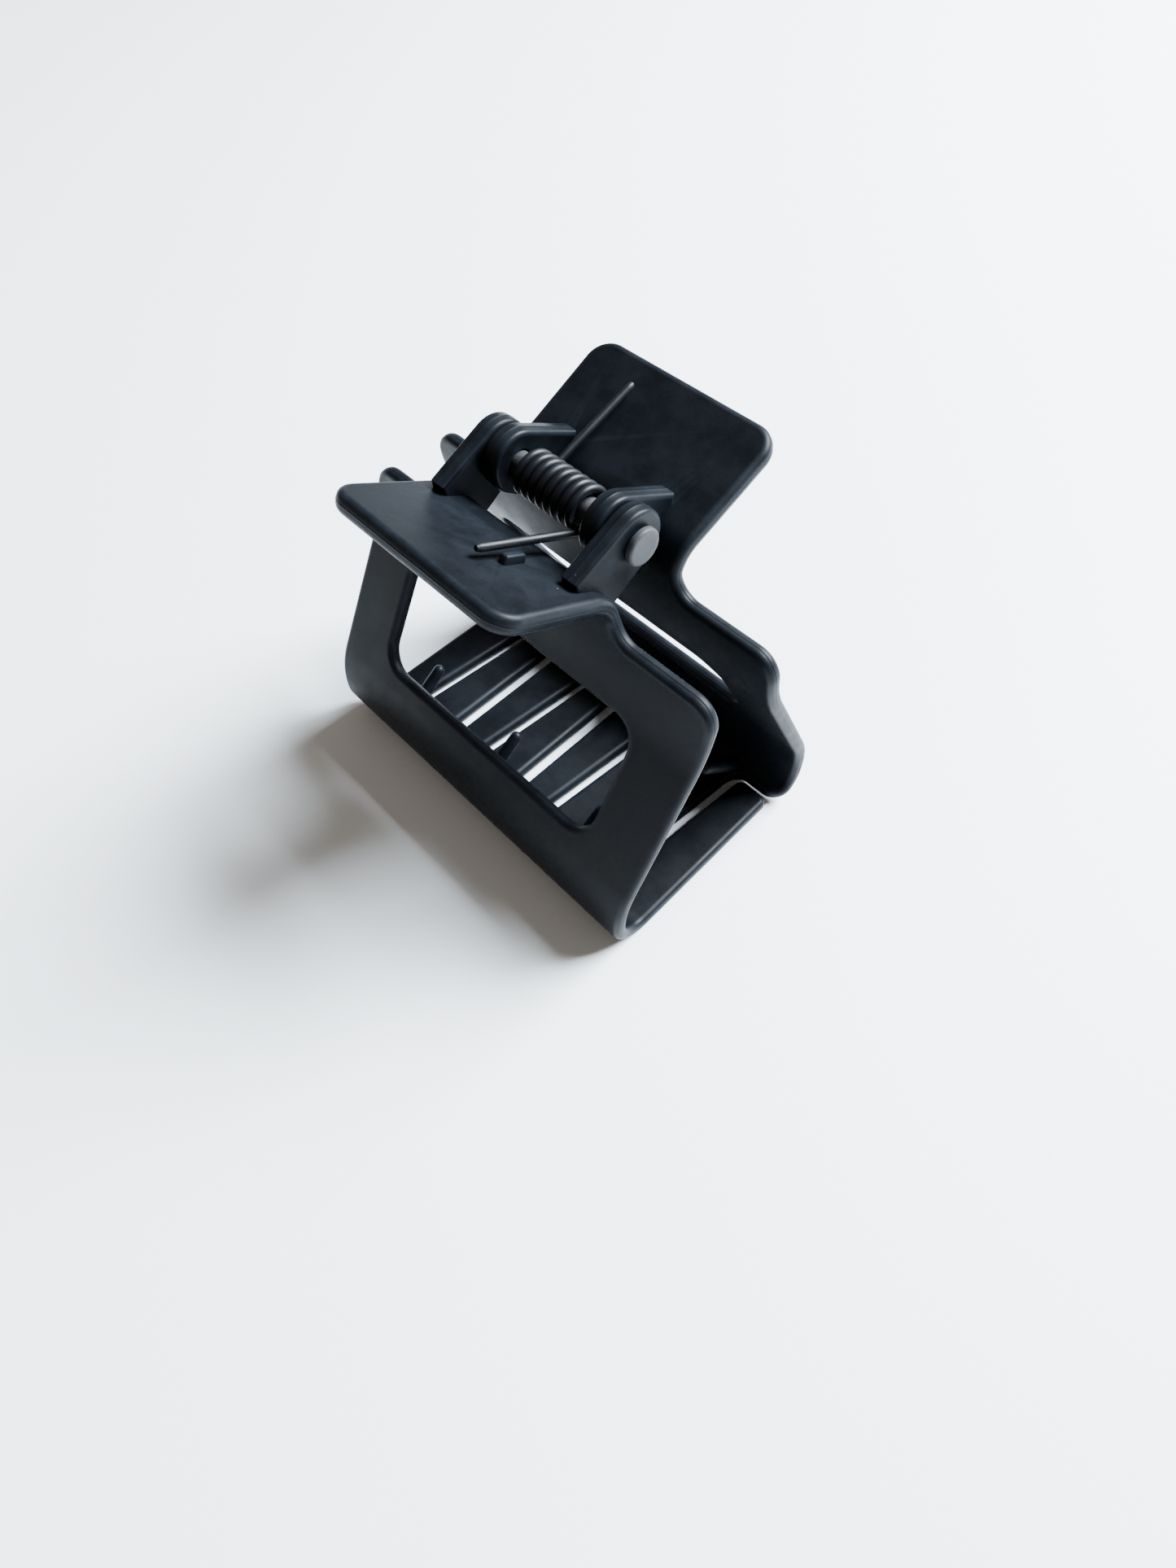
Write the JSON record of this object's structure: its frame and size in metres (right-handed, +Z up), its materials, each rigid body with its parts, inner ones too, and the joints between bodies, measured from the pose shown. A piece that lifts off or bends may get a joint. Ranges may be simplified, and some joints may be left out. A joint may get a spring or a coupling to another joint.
{
  "type": "hair claw clip",
  "caption": "Square claw hair clip in matt black: interleaving comb teeth, two windowed jaws that bow outwards, finger handles, and a torsion spring on a headed pin.",
  "frame": {"origin": "bottom centre: on the table the comb stands on, midway between the two jaws and under the hinge pin", "axes": "+X along the hinge pin, towards the side where the front jaw's outermost tooth is; -Y towards the front jaw; +Z up, from the comb to the handles"},
  "size_m": [0.0588, 0.0428, 0.0525],
  "materials": {
    "soft_touch_black_front": "soft-touch matt paint over moulded plastic",
    "soft_touch_black_rear": "soft-touch matt paint over moulded plastic",
    "painted_pin": "matt black paint over steel, worn grey on the head's face",
    "painted_wire": "matt black paint over spring steel"
  },
  "bodies": {
    "rear": {"jaw_rear": "soft_touch_black_rear", "hinge_pin": "painted_pin", "torsion_spring": "painted_wire"},
    "front": {"jaw_front": "soft_touch_black_front"}
  },
  "joints": [
    {"name": "jaw_hinge", "type": "hinge", "parent": "rear", "child": "front", "pos_m": [0, 0, 0.0482], "axis": [-1, 0, 0], "range_deg": [0, 100], "stiffness_Nm_per_rad": 0.04, "springref_deg": -40.11, "deforming": ["torsion_spring"]}
  ]
}
